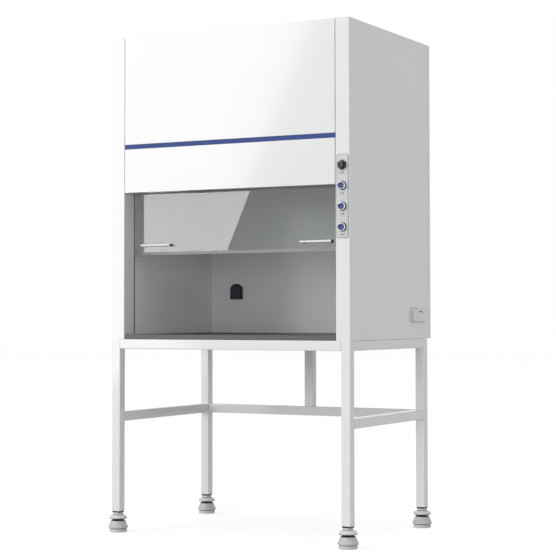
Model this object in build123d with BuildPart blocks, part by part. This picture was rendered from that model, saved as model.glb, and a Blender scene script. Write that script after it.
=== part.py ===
"""A ducted fume hood: a sheet-metal cabinet with a counterbalanced glass sash and an exhaust fan, on a tubular
stand with levelling feet.

Millimetres. X runs to the right, Y to the back and Z up. The origin is on the floor, under the middle of the
object's box. Most sketches use planes whose origin is on the cabinet's front plane, so that their Y is the
distance behind it.
"""
import os
from math import cos, radians, sin, sqrt

from build123d import *

os.makedirs("parts", exist_ok=True)

# Cabinet, overall
width = 1100.0
depth = 805.0
height = 2060.0
stand_height = 800.0

# Clearances
joint_gap = 0.3          # between fixed pieces that meet
running_gap = 0.05       # radial, between a shaft and its bore
moving_gap = 0.5         # between pieces that pass each other

# Tubular stand
tube = 40.0
tube_wall = 2.0
tube_corner = 4.0
rear_overhang = 37.0     # of the cabinet behind the rear legs
lower_rail_bottom = 458.0

# Levelling feet, from the floor up
foot_height = 87.0       # floor to the legs' lower ends
pad_radius = 36.0
pad_height = 14.0
groove_depth = 2.0
groove_height = 3.0
foot_radius = 41.5
rim_height = 5.0
bell_height = 46.0
bell_top_radius = 31.0
bell_sweep = 1.5         # hollow of the bell's side, below a straight slope
well_radius = 22.0
well_depth = 6.0
stud_radius = 8.0
hexagon_across = 27.0
hexagon_height = 9.0
stud_reach = 60.0        # of the stud inside the leg
collar_bottom = 55.0
collar_radius = 36.5
collar_rim = 7.0
collar_shoulder = 10.0
collar_neck_radius = 20.0
collar_sweep = 1.5       # bulge of the shoulder, above a straight slope
insert_flange = 7.0
insert_inset = 3.0
insert_depth = 30.0

# Sheet metal of the cabinet
sheet = 1.5
bend_radius = 2.5
post_width = 60.0
post_return = 73.0
rear_flange = 20.0
rear_panel_depth = 25.0
roof_flange = 25.0

# Front panels, from the top down
upper_panel_height = 449.0
stripe_height = 20.0
fascia_height = 181.0
stripe_recess = 1.0
stripe_depth = 14.0
stripe_wall = 2.0
front_groove = 3.0       # between the front panels and the posts
groove_back = 8.0        # depth of that groove
panel_flange = 30.0
fascia_lip = 40.0

# Chamber
liner = 5.0
rear_cavity = 83.0       # between the rear liner's face and the back
ceiling_drop = 460.0     # of the chamber's top below the cabinet's top
ceiling_front = 98.0
worktop_thickness = 20.0
worktop_setback = 4.0
worktop_rim = 25.0
worktop_dish = 4.0
worktop_edge = 2.0
port_width = 320.0
port_depth = 140.0
port_corner = 15.0
port_from_back = 30.0

# Sash
glass_thickness = 5.0
glass_plane = 78.0       # front plane to the middle of the glass
glass_reach = 12.0       # of the glass into each track
glass_edge_gap = 3.0     # between the glass's edge and the track's floor
glass_height = 640.0
sash_opening = 351.0     # of the raised sash above the stand
sash_rail_height = 12.0
sash_rail_wall = 1.6
sash_rail_floor = 1.8
track_wall = 1.7
track_floor = 2.0
track_top_gap = 10.0
handle_length = 140.0
handle_radius = 4.5
handle_edge = 1.5
handle_plane = 55.0
handle_height = 40.0     # above the sash's lower edge
handle_inset = 47.0      # from the chamber's side to the handle's outer end
standoff_radius = 5.0
standoff_inset = 9.0
screw_radius = 2.5
washer_radius = 8.0
washer = 2.0

# Counterbalance
cable_radius = 1.5
cable_plane = 90.0
pulley_pitch_radius = 22.0
pulley_rim = 3.0
pulley_width = 9.0
pulley_land = 1.0        # width of each flange at its rim
pulley_drop = 34.0       # of the pulleys below the cabinet's top
pin_radius = 5.0
pin_head = 2.0
bracket_edge = 10.0      # of the bracket past the middle of the pin
bracket_plate = 3.0
bracket_height = 55.0
bracket_foot = 30.0
lift_rise = 594.0        # of the cable's lower end above the sash's lower edge
lift_width = 12.0
lift_plate_height = 20.0
lift_bolt_radius = 4.0
lift_pad = 2.0           # thickness of the bolt's head
lift_corner = 2.0
lift_lug_reach = 4.0     # of the lug past the middle of the cable
cable_inset = 10.0       # from the chamber's side to the sash's end of the cable
weight_width = 30.0
weight_depth = 50.0
weight_height = 355.0
weight_drop = 420.0      # of the weights' tops below the cabinet's top
weight_corner = 4.0
weight_socket = 6.0      # depth of the cable's socket
cable_end_gap = 1.5      # under the cable in that socket

# Exhaust fan and collar
collar_pipe_radius = 125.0
collar_pipe_wall = 3.0
collar_pipe_height = 55.0
collar_flange = 25.0
collar_flange_thickness = 3.0
duct_from_back = 375.0
fan_drop = 230.0         # of the fan's axis below the cabinet's top
fan_width = 130.0
scroll_radius = 135.0
scroll_growth = 18.0     # of the scroll's radius, each quarter turn
tongue_angle = 50.0
scroll_drop = 100.0      # of the scroll's mouth below the cabinet's top
scroll_wall = 2.0
inlet_radius = 80.0
inlet_lip = 8.0
impeller_radius = 112.0
impeller_bore_radius = 84.0
impeller_width = 96.0
impeller_plate = 3.0
blade_count = 24
blade_thickness = 1.6
blade_bow = 5.0
blade_inset = 1.0        # of the blades inside the rim
hub_radius = 20.0
hub_length = 34.0
shaft_radius = 7.0
shaft_reach = 40.0       # of the shaft inside the motor
shaft_end_gap = 1.0
motor_radius = 62.0
motor_length = 140.0
motor_nose_radius = 40.0
motor_nose = 12.0
motor_fin_count = 20
motor_fin = 4.0

# Lamp
lamp_length = 600.0
lamp_depth = 60.0
lamp_height = 32.0
lamp_front = 112.0
lamp_corner = 10.0

# Controls on the right post
plate_width = 51.6
plate_above = 42.0       # of the plate above the top control's middle
plate_below = 42.9
plate_thickness = 2.0
plate_corner = 8.0
control_from_side = 30.2
control_rise = 683.0     # of the top control above the stand
control_pitch = 80.7
control_count = 4
barrel_radius = 10.8
barrel_length = 36.0
ring_radius = 18.0
ring_thickness = 3.0
body_radius = 15.5
body_length = 9.0
switch_floor = 2.0
button_radius = 12.0
button_proud = 6.0
button_dish = 1.2
button_edge = 1.5        # of the flat rim round the dish
button_travel = 4.0
knob_base_across = 36.0
knob_base = 6.0
knob_radius = 13.5
knob_length = 12.0
knob_taper = 4.0
spindle_radius = 3.0
spindle_length = 8.0

# Socket on the rear wall of the chamber
socket_from_side = 132.0
socket_rise = 171.0      # above the stand
socket_width = 62.0
socket_height = 70.0
socket_base = 7.0
socket_body = 44.0
socket_body_depth = 28.0
flap_inset = 5.0
flap_thickness = 7.0
flap_wall = 2.0
hinge_radius = 3.0
hinge_pin_radius = 1.2
hinge_length = 22.0
hinge_knuckle = 5.0
arch_rise = 0.62         # of the round top, as a share of half its width
socket_well_radius = 19.0
socket_well_depth = 5.0

# Service outlet on the right side
outlet_from_back = 215.0
outlet_rise = 69.0       # above the stand
outlet_width = 143.0
outlet_height = 63.0
outlet_plate = 4.0
outlet_corner = 5.0
outlet_body_inset = 9.0
outlet_body_depth = 30.0
lid_inset = 8.0
lid_thickness = 10.0
lid_wall = 2.0
lid_length = 62.0
outlet_well_spacing = 50.0
outlet_well_drop = 4.0   # of the wells below the plate's middle

# Cable gland on the roof
gland_from_side = 130.0
gland_from_back = 65.0
gland_across = 24.0
gland_thread_radius = 8.0
gland_height = 24.0
gland_bore_radius = 4.0
gland_taper = 12.0       # degrees

# Places that follow from the sizes above
foot_overhang = foot_radius - tube / 2
front = -(depth + foot_overhang) / 2 + foot_overhang
half_width = width / 2
chamber_half = half_width - post_width
leg_x = half_width - tube / 2
rear_leg_y = depth - rear_overhang - tube / 2
apron_z = stand_height - tube / 2
lower_rail_z = lower_rail_bottom + tube / 2
legs = {
    "front_left": (-leg_x, tube / 2),
    "front_right": (leg_x, tube / 2),
    "rear_left": (-leg_x, rear_leg_y),
    "rear_right": (leg_x, rear_leg_y),
}
stripe_top = height - upper_panel_height
stripe_bottom = stripe_top - stripe_height
fascia_bottom = stripe_bottom - fascia_height
worktop_top = stand_height + worktop_thickness
roof_top = height - sheet - joint_gap
roof_bottom = roof_top - sheet
chamber_depth = depth - rear_cavity
chamber_back = chamber_depth + liner
chamber_top = height - ceiling_drop
sash_bottom = stand_height + sash_opening
glass_front = glass_plane - glass_thickness / 2
glass_back = glass_plane + glass_thickness / 2
glass_bottom = sash_bottom + sash_rail_floor + joint_gap
track_half = glass_thickness / 2 + moving_gap + track_wall
handle_x = chamber_half - handle_inset - handle_length / 2
handle_z = sash_bottom + handle_height
standoff_x = handle_length / 2 - standoff_inset
cable_x = chamber_half - cable_inset
pulley_x = cable_x + pulley_pitch_radius
weight_x = pulley_x + pulley_pitch_radius
pulley_height = height - pulley_drop
lift_height = sash_bottom + lift_rise
weight_top = height - weight_drop
duct_y = depth - duct_from_back
duct_centre = (0.0, duct_y)
fan_height = height - fan_drop
scroll_top = height - scroll_drop
control_x = half_width - control_from_side
control_top = stand_height + control_rise
control_low = control_top - (control_count - 1) * control_pitch
plate_bottom = control_low - plate_below
plate_height = control_top + plate_above - plate_bottom
socket_x = -chamber_half + socket_from_side
socket_bottom = stand_height + socket_rise
outlet_front = depth - outlet_from_back
outlet_bottom = stand_height + outlet_rise
gland_x = half_width - gland_from_side
gland_y = depth - gland_from_back


def level(z):
    """A level plane at height z, whose origin is on the front plane."""
    return Plane(origin=(0, front, z))


def facing(y):
    """An upright plane that faces the front, y behind the front plane. Its own axes are X and Z."""
    return Plane(origin=(0, front + y, 0), x_dir=(1, 0, 0), z_dir=(0, -1, 0))


def side_on(x):
    """An upright plane at x that faces the right. Its own axes are Y and Z."""
    return Plane(origin=(x, front, 0), x_dir=(0, 1, 0), z_dir=(1, 0, 0))


def between(low_a, high_a, low_b, high_b, mode=Mode.ADD):
    """A rectangle given by its limits along the sketch's two axes."""
    with Locations(((low_a + high_a) / 2, (low_b + high_b) / 2)):
        Rectangle(high_a - low_a, high_b - low_b, mode=mode)


def tube_section():
    """The hollow section of the stand's tube."""
    RectangleRounded(tube, tube, tube_corner)
    inside = tube - 2 * tube_wall
    RectangleRounded(inside, inside, tube_corner - tube_wall, mode=Mode.SUBTRACT)


def folded(line):
    """The section of a folded sheet whose outer face follows the line, with the sheet on its left."""
    with BuildSketch(mode=Mode.PRIVATE) as section:
        with BuildLine():
            add(line)
            offset(amount=sheet, side=Side.LEFT, kind=Kind.INTERSECTION)
        make_face()
    return section.sketch


def turned(outline):
    """A solid turned about its own Z axis, from a closed line of (radius, height)."""
    with BuildPart(mode=Mode.PRIVATE) as solid:
        with BuildSketch(Plane.XZ):
            with BuildLine():
                add(outline)
            make_face()
        revolve(axis=Axis.Z)
    return solid.part


def keep(piece, name):
    """Label a finished piece and write it."""
    piece.part.label = name
    export_step(piece.part, f"parts/{name}.step")


# Stand: legs, aprons, lower rails and the rear middle post
for corner, place in legs.items():
    with BuildPart() as leg:
        with BuildSketch(level(foot_height)):
            with Locations(place):
                tube_section()
        extrude(amount=stand_height - foot_height)
    keep(leg, f"leg_{corner}")

inner_x = half_width - tube - joint_gap
for name, y, z in (
    ("front_apron", tube / 2, apron_z),
    ("rear_apron", rear_leg_y, apron_z),
    ("rear_lower_rail", rear_leg_y, lower_rail_z),
):
    with BuildPart() as cross_tube:
        with BuildSketch(side_on(-inner_x)):
            with Locations((y, z)):
                tube_section()
        extrude(amount=2 * inner_x)
    keep(cross_tube, name)

side_start = tube + joint_gap
side_end = rear_leg_y - tube / 2 - joint_gap
for name, x, z in (
    ("left_apron", -leg_x, apron_z),
    ("right_apron", leg_x, apron_z),
    ("left_lower_rail", -leg_x, lower_rail_z),
    ("right_lower_rail", leg_x, lower_rail_z),
):
    with BuildPart() as side_tube:
        with BuildSketch(facing(side_start)):
            with Locations((x, z)):
                tube_section()
        extrude(amount=-(side_end - side_start))
    keep(side_tube, name)

with BuildPart() as rear_post:
    with BuildSketch(level(lower_rail_bottom + tube + joint_gap)):
        with Locations((0, rear_leg_y)):
            tube_section()
    extrude(amount=stand_height - 2 * tube - lower_rail_bottom - 2 * joint_gap)
keep(rear_post, "rear_post")

# Plastic inserts that close the legs' lower ends and guide the studs
insert_across = tube - 2 * tube_wall - 2 * joint_gap
with BuildPart() as leg_inserts:
    with BuildSketch(level(foot_height - joint_gap)):
        with Locations(*legs.values()):
            RectangleRounded(tube - insert_inset, tube - insert_inset, tube_corner)
    extrude(amount=-(insert_flange - joint_gap))
    with BuildSketch(level(foot_height - joint_gap)):
        with Locations(*legs.values()):
            RectangleRounded(insert_across, insert_across, tube_corner - tube_wall)
    extrude(amount=insert_depth)
    with BuildSketch(level(foot_height - insert_flange)):
        with Locations(*legs.values()):
            Circle(stud_radius + running_gap)
    extrude(amount=insert_flange + insert_depth, mode=Mode.SUBTRACT)
keep(leg_inserts, "leg_inserts")

# Flared collars under the inserts
collar_top = foot_height - insert_flange - joint_gap
collar_neck = collar_bottom + collar_rim + collar_shoulder
collar_bore = stud_radius + running_gap
with BuildLine() as collar_outline:
    Polyline(
        (collar_bore, collar_top),
        (collar_bore, collar_bottom),
        (collar_radius, collar_bottom),
        (collar_radius, collar_bottom + collar_rim),
    )
    ThreePointArc(
        (collar_radius, collar_bottom + collar_rim),
        (
            (collar_radius + collar_neck_radius) / 2 + collar_sweep,
            collar_neck - collar_shoulder / 2 + collar_sweep,
        ),
        (collar_neck_radius, collar_neck),
    )
    Polyline(
        (collar_neck_radius, collar_neck),
        (collar_neck_radius, collar_top),
        (collar_bore, collar_top),
    )
collar = turned(collar_outline.line)
with BuildPart() as foot_collars:
    with Locations(*[(x, front + y, 0) for x, y in legs.values()]):
        add(collar)
keep(foot_collars, "foot_collars")

# Levelling feet: pad, bell and stud moulded together, with a hexagon for the spanner
well_floor = bell_height - well_depth
rim_bottom = pad_height + groove_height
rim_top = rim_bottom + rim_height
stud_top = foot_height + stud_reach
with BuildLine() as foot_outline:
    Polyline(
        (0, 0),
        (pad_radius, 0),
        (pad_radius, pad_height),
        (pad_radius - groove_depth, pad_height),
        (pad_radius - groove_depth, rim_bottom),
        (foot_radius, rim_bottom),
        (foot_radius, rim_top),
    )
    ThreePointArc(
        (foot_radius, rim_top),
        ((foot_radius + bell_top_radius) / 2 - bell_sweep, (rim_top + bell_height) / 2),
        (bell_top_radius, bell_height),
    )
    Polyline(
        (bell_top_radius, bell_height),
        (well_radius, bell_height),
        (well_radius, well_floor),
        (stud_radius, well_floor),
        (stud_radius, stud_top),
        (0, stud_top),
        (0, 0),
    )
foot_body = turned(foot_outline.line)
for corner, (x, y) in legs.items():
    with BuildPart() as foot:
        with Locations((x, front + y, 0)):
            add(foot_body)
        with BuildSketch(level(well_floor)):
            with Locations((x, y)):
                RegularPolygon(hexagon_across / 2, 6, major_radius=False)
        extrude(amount=hexagon_height)
    keep(foot, f"foot_{corner}")

# Side panels, each folded with its front post and the post's inner return
panel_back = depth - rear_panel_depth - joint_gap
with BuildLine() as side_line:
    FilletPolyline(
        (chamber_half, post_return),
        (chamber_half, 0),
        (half_width, 0),
        (half_width, panel_back),
        (half_width - rear_flange, panel_back),
        radius=bend_radius,
    )
side_section = folded(side_line.line)
with BuildPart() as plain_side:
    with BuildSketch(level(stand_height)):
        add(side_section)
    extrude(amount=height - stand_height)
    with BuildSketch(level(height - sheet)):
        between(chamber_half + sheet / 2, half_width - sheet / 2, sheet / 2, post_return)
    extrude(amount=sheet)

with BuildPart() as left_side_panel:
    mirror(plain_side.part, about=Plane.YZ)
keep(left_side_panel, "left_side_panel")

control_heights = [control_top - place * control_pitch for place in range(control_count)]
outlet_centre = (outlet_front + outlet_width / 2, outlet_bottom + outlet_height / 2)
outlet_body_width = outlet_width - 2 * outlet_body_inset
outlet_body_height = outlet_height - 2 * outlet_body_inset
with BuildPart() as right_side_panel:
    add(plain_side.part)
    with BuildSketch(facing(0)):
        with Locations(*[(control_x, z) for z in control_heights]):
            Circle(barrel_radius + joint_gap)
    extrude(amount=-2 * sheet, mode=Mode.SUBTRACT)
    with BuildSketch(side_on(half_width)):
        with Locations(outlet_centre):
            Rectangle(outlet_body_width + 2 * joint_gap, outlet_body_height + 2 * joint_gap)
    extrude(amount=-2 * sheet, mode=Mode.SUBTRACT)
keep(right_side_panel, "right_side_panel")

# Front panels: trays whose sides step out behind the groove to reach the posts
tray_half = chamber_half - front_groove
tray_reach = chamber_half - joint_gap
with BuildLine() as tray_line:
    Polyline(
        (-tray_reach, panel_flange),
        (-tray_reach, groove_back),
        (-tray_half, groove_back),
        (-tray_half, 0),
        (tray_half, 0),
        (tray_half, groove_back),
        (tray_reach, groove_back),
        (tray_reach, panel_flange),
    )
tray_section = folded(tray_line.line)


def front_tray(bottom, top, bottom_flange, top_flange):
    """A front panel from bottom to top, with flanges folded back at both."""
    with BuildPart(mode=Mode.PRIVATE) as tray:
        with BuildSketch(level(bottom)):
            add(tray_section)
        extrude(amount=top - bottom)
        with BuildSketch(level(bottom)):
            between(-tray_half, tray_half, 0, bottom_flange)
        extrude(amount=sheet)
        with BuildSketch(level(top)):
            between(-tray_half, tray_half, 0, top_flange)
        extrude(amount=-sheet)
    return tray.part


with BuildPart() as upper_front_panel:
    add(front_tray(stripe_top, height, panel_flange, panel_flange))
keep(upper_front_panel, "upper_front_panel")

with BuildPart() as lower_fascia:
    add(front_tray(fascia_bottom, stripe_bottom, fascia_lip, panel_flange))
keep(lower_fascia, "lower_fascia")

# Coloured stripe, a channel held between the two trays
stripe_back = stripe_recess + stripe_depth
with BuildPart() as stripe_insert:
    with BuildSketch(side_on(-tray_half)):
        between(stripe_recess, stripe_back, stripe_bottom + joint_gap, stripe_top - joint_gap)
        between(
            stripe_recess + stripe_wall,
            stripe_back,
            stripe_bottom + joint_gap + stripe_wall,
            stripe_top - joint_gap - stripe_wall,
            mode=Mode.SUBTRACT,
        )
    extrude(amount=2 * tray_half)
keep(stripe_insert, "stripe_insert")

# Rear panel: a tray over the back, flush with the side panels
rear_front = depth - rear_panel_depth
with BuildLine() as rear_line:
    FilletPolyline(
        (half_width, rear_front),
        (half_width, depth),
        (-half_width, depth),
        (-half_width, rear_front),
        radius=bend_radius,
    )
with BuildPart() as rear_panel:
    with BuildSketch(level(stand_height)):
        add(folded(rear_line.line))
    extrude(amount=height - stand_height)
    for flange_bottom in (stand_height, height - sheet):
        with BuildSketch(level(flange_bottom)):
            between(-half_width + sheet, half_width - sheet, rear_front, depth - sheet)
        extrude(amount=sheet)
keep(rear_panel, "rear_panel")

# Roof: a plate with its flanges down, under the top flanges of the front and rear panels
roof_half = half_width - sheet - joint_gap
roof_front_half = tray_half - sheet - joint_gap
roof_front = sheet + joint_gap
roof_back = depth - sheet - joint_gap
roof_shoulder = post_return + joint_gap
roof_notch = panel_back - sheet - joint_gap
roof_rear_half = half_width - rear_flange - joint_gap
with BuildPart() as roof_panel:
    with BuildSketch(level(roof_bottom)):
        between(-roof_half, roof_half, roof_shoulder, roof_notch)
        between(-roof_front_half, roof_front_half, roof_front, roof_notch)
        between(-roof_rear_half, roof_rear_half, roof_shoulder, roof_back)
        with Locations(duct_centre):
            Circle(collar_pipe_radius - collar_pipe_wall, mode=Mode.SUBTRACT)
        with Locations((gland_x, gland_y)):
            Circle(gland_thread_radius + joint_gap, mode=Mode.SUBTRACT)
    extrude(amount=sheet)
    with BuildSketch(level(roof_top - roof_flange)):
        between(-roof_front_half, roof_front_half, roof_front, roof_front + sheet)
        between(-roof_rear_half, roof_rear_half, roof_back - sheet, roof_back)
        between(-roof_half, -roof_half + sheet, roof_shoulder + panel_flange, roof_notch)
        between(roof_half - sheet, roof_half, roof_shoulder + panel_flange, roof_notch)
    extrude(amount=roof_flange)
keep(roof_panel, "roof_panel")

# Worktop: a slab with a shallow dish, notched round the post returns and the tracks
slab_half = chamber_half + liner
slab_notch = glass_plane + track_half + joint_gap
slab_back = rear_leg_y + tube / 2
with BuildPart() as worktop:
    with BuildSketch(level(stand_height)):
        between(-slab_half, slab_half, slab_notch, slab_back)
        between(-chamber_half + joint_gap, chamber_half - joint_gap, worktop_setback, slab_back)
    extrude(amount=worktop_thickness)
    front_edges = worktop.edges().filter_by(Axis.X).group_by(Axis.Y)[0]
    fillet(front_edges, worktop_edge)
    with BuildSketch(level(worktop_top)):
        between(
            -chamber_half + worktop_rim,
            chamber_half - worktop_rim,
            slab_notch + worktop_rim,
            chamber_depth - worktop_rim,
        )
        fillet(vertices(), worktop_rim / 2)
    extrude(amount=-worktop_dish, mode=Mode.SUBTRACT)
keep(worktop, "worktop")

# Chamber liners
for name, side in (("left_liner", -1), ("right_liner", 1)):
    with BuildPart() as side_liner:
        with BuildSketch(level(worktop_top + joint_gap)):
            between(
                *sorted((side * chamber_half, side * (chamber_half + liner))),
                slab_notch,
                chamber_back,
            )
        extrude(amount=chamber_top - worktop_top - joint_gap)
    keep(side_liner, name)

socket_centre = (socket_x, socket_bottom + socket_height / 2)
with BuildPart() as rear_liner:
    with BuildSketch(level(worktop_top + joint_gap)):
        between(-chamber_half + joint_gap, chamber_half - joint_gap, chamber_depth, chamber_back)
    extrude(amount=chamber_top - worktop_top - joint_gap)
    with BuildSketch(facing(chamber_depth)):
        with Locations(socket_centre):
            Rectangle(socket_body + 2 * joint_gap, socket_body + 2 * joint_gap)
    extrude(amount=-liner, mode=Mode.SUBTRACT)
keep(rear_liner, "rear_liner")

port_y = chamber_depth - port_from_back - port_depth / 2
with BuildPart() as ceiling_liner:
    with BuildSketch(level(chamber_top + joint_gap)):
        between(-slab_half, slab_half, ceiling_front, chamber_back)
        with Locations((0, port_y)):
            RectangleRounded(port_width, port_depth, port_corner, mode=Mode.SUBTRACT)
    extrude(amount=liner)
keep(ceiling_liner, "ceiling_liner")

# Sash: glass with holes for its handles and lift brackets
standoffs = [
    (side * handle_x + end * standoff_x, handle_z) for side in (-1, 1) for end in (-1, 1)
]
lifts = [(-cable_x, lift_height), (cable_x, lift_height)]
with BuildPart() as sash_glass:
    with BuildSketch(facing(glass_back)):
        between(
            -chamber_half - glass_reach,
            chamber_half + glass_reach,
            glass_bottom,
            glass_bottom + glass_height,
        )
        with Locations(*standoffs):
            Circle(screw_radius + joint_gap, mode=Mode.SUBTRACT)
        with Locations(*lifts):
            Circle(lift_bolt_radius + joint_gap, mode=Mode.SUBTRACT)
    extrude(amount=glass_thickness)
keep(sash_glass, "sash_glass")

sash_rail_half = glass_thickness / 2 + joint_gap + sash_rail_wall
with BuildPart() as sash_bottom_rail:
    with BuildSketch(side_on(-chamber_half + front_groove)):
        between(
            glass_plane - sash_rail_half,
            glass_plane + sash_rail_half,
            sash_bottom,
            sash_bottom + sash_rail_height,
        )
        with Locations((glass_plane, glass_bottom - joint_gap + sash_rail_height / 2)):
            Rectangle(
                glass_thickness + 2 * joint_gap, sash_rail_height, mode=Mode.SUBTRACT
            )
    extrude(amount=2 * (chamber_half - front_groove))
keep(sash_bottom_rail, "sash_bottom_rail")

# Handles, and the standoffs that carry them through the glass
for name, side in (("left_handle", -1), ("right_handle", 1)):
    with BuildPart() as handle:
        with BuildSketch(side_on(side * handle_x - handle_length / 2)):
            with Locations((handle_plane, handle_z)):
                Circle(handle_radius)
        extrude(amount=handle_length)
        fillet(handle.edges().filter_by(GeomType.CIRCLE), handle_edge)
    keep(handle, name)

with BuildPart() as handle_standoffs:
    with BuildSketch(facing(handle_plane)):
        with Locations(*standoffs):
            Circle(standoff_radius)
    extrude(amount=-(glass_front - joint_gap - handle_plane))
    with BuildSketch(facing(glass_front - joint_gap)):
        with Locations(*standoffs):
            Circle(screw_radius)
    extrude(amount=-(glass_thickness + 2 * joint_gap))
    with BuildSketch(facing(glass_back + joint_gap)):
        with Locations(*standoffs):
            Circle(washer_radius)
    extrude(amount=-washer)
    with BuildSketch(side_on(-chamber_half)):
        with Locations((handle_plane, handle_z)):
            Circle(handle_radius + running_gap)
    extrude(amount=2 * chamber_half, mode=Mode.SUBTRACT)
keep(handle_standoffs, "handle_standoffs")

# Tracks that guide the glass's edges
track_bottom = worktop_top + joint_gap
track_top = roof_bottom - track_top_gap
track_depth = glass_reach + glass_edge_gap + track_floor
for name, side in (("left_sash_track", -1), ("right_sash_track", 1)):
    with BuildPart() as track:
        with BuildSketch(level(track_bottom)):
            with Locations((side * (chamber_half + track_depth / 2), glass_plane)):
                Rectangle(track_depth, 2 * track_half)
            with Locations((side * (chamber_half + (track_depth - track_floor) / 2), glass_plane)):
                Rectangle(
                    track_depth - track_floor, glass_thickness + 2 * moving_gap, mode=Mode.SUBTRACT
                )
        extrude(amount=track_top - track_bottom)
    keep(track, name)

# Lift brackets, bolted through the glass, that hold the cables' lower ends
lift_lug = cable_plane + lift_lug_reach
with BuildPart() as sash_lift_brackets:
    for x, z in lifts:
        with BuildSketch(facing(glass_front - joint_gap)):
            with Locations((x, z)):
                Circle(lift_width / 2)
        extrude(amount=lift_pad)
        with BuildSketch(facing(glass_front - joint_gap)):
            with Locations((x, z)):
                Circle(lift_bolt_radius)
        extrude(amount=-(glass_thickness + 2 * joint_gap))
        with BuildSketch(facing(glass_back + joint_gap)):
            with Locations((x, z)):
                RectangleRounded(lift_width, lift_plate_height, lift_corner)
        extrude(amount=-bracket_plate)
        with BuildSketch(level(z - bracket_plate)):
            between(x - lift_width / 2, x + lift_width / 2, glass_back + bracket_plate, lift_lug)
            with Locations((x, cable_plane)):
                Circle(cable_radius + running_gap, mode=Mode.SUBTRACT)
        extrude(amount=2 * bracket_plate)
keep(sash_lift_brackets, "sash_lift_brackets")

# Counterweights in the side walls
for name, side in (("left_counterweight", -1), ("right_counterweight", 1)):
    with BuildPart() as weight:
        with BuildSketch(level(weight_top - weight_height)):
            with Locations((side * weight_x, cable_plane)):
                RectangleRounded(weight_width, weight_depth, weight_corner)
        extrude(amount=weight_height)
        with BuildSketch(level(weight_top)):
            with Locations((side * weight_x, cable_plane)):
                Circle(cable_radius + running_gap)
        extrude(amount=-weight_socket, mode=Mode.SUBTRACT)
    keep(weight, name)

# Pulleys that lead the cables over into the side walls
pulley_outer = pulley_pitch_radius + pulley_rim
pulley_root = pulley_pitch_radius - cable_radius - running_gap
half_pulley = pulley_width / 2
with BuildLine() as pulley_outline:
    Polyline(
        (pin_radius + running_gap, half_pulley),
        (pin_radius + running_gap, -half_pulley),
        (pulley_outer, -half_pulley),
        (pulley_outer, -half_pulley + pulley_land),
        (pulley_root, -cable_radius),
        (pulley_root, cable_radius),
        (pulley_outer, half_pulley - pulley_land),
        (pulley_outer, half_pulley),
        (pin_radius + running_gap, half_pulley),
    )
pulley_body = turned(pulley_outline.line)
for name, side in (("left_pulley", -1), ("right_pulley", 1)):
    with BuildPart() as pulley:
        with Locations(Plane(origin=(side * pulley_x, front + cable_plane, pulley_height), z_dir=(0, -1, 0))):
            add(pulley_body)
    keep(pulley, name)

bracket_y = cable_plane + half_pulley + joint_gap
bracket_top = roof_top - roof_flange - joint_gap
bracket_outer = half_width - sheet - joint_gap
with BuildPart() as pulley_brackets:
    for side in (-1, 1):
        with BuildSketch(facing(bracket_y)):
            between(
                *sorted((side * (pulley_x - bracket_edge), side * bracket_outer)),
                bracket_top - bracket_height,
                bracket_top,
            )
        extrude(amount=-bracket_plate)
        with BuildSketch(side_on(side * bracket_outer)):
            between(
                bracket_y, bracket_y + bracket_foot, bracket_top - bracket_height, bracket_top
            )
        extrude(amount=-side * bracket_plate)
        with BuildSketch(facing(bracket_y + bracket_plate)):
            with Locations((side * pulley_x, pulley_height)):
                Circle(pin_radius)
        extrude(amount=bracket_plate + 2 * joint_gap + pulley_width + pin_head)
        with BuildSketch(facing(cable_plane - half_pulley - joint_gap)):
            with Locations((side * pulley_x, pulley_height)):
                Circle(pin_radius + pin_head)
        extrude(amount=pin_head)
keep(pulley_brackets, "pulley_brackets")

# Cables: up from the lift bracket, over the pulley and down to the weight
with BuildPart() as sash_cables:
    for side in (-1, 1):
        with BuildLine(facing(cable_plane)) as cable_path:
            up = Line((side * cable_x, lift_height - bracket_plate), (side * cable_x, pulley_height))
            over = ThreePointArc(
                up @ 1,
                (side * pulley_x, pulley_height + pulley_pitch_radius),
                (side * weight_x, pulley_height),
            )
            Line(over @ 1, (side * weight_x, weight_top - weight_socket + cable_end_gap))
        with BuildSketch(Plane(origin=cable_path.line @ 0, z_dir=(0, 0, 1))):
            Circle(cable_radius)
        sweep(path=cable_path.line)
keep(sash_cables, "sash_cables")

# Exhaust collar on the roof
with BuildPart() as exhaust_collar:
    with BuildSketch(level(roof_top + joint_gap)):
        with Locations(duct_centre):
            Circle(collar_pipe_radius + collar_flange)
    extrude(amount=collar_flange_thickness)
    with BuildSketch(level(roof_top + joint_gap)):
        with Locations(duct_centre):
            Circle(collar_pipe_radius)
    extrude(amount=collar_pipe_height)
    with BuildSketch(level(roof_top + joint_gap)):
        with Locations(duct_centre):
            Circle(collar_pipe_radius - collar_pipe_wall)
    extrude(amount=collar_pipe_height, mode=Mode.SUBTRACT)
keep(exhaust_collar, "exhaust_collar")

# Fan scroll: a volute of three quarter arcs, then a neck that turns round to meet the collar
outlet_inner = scroll_radius * cos(radians(tongue_angle))
outlet_outer = scroll_radius + 3 * scroll_growth
fan_x = -(outlet_inner + outlet_outer) / 2
neck_radius = collar_pipe_radius - collar_pipe_wall


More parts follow.
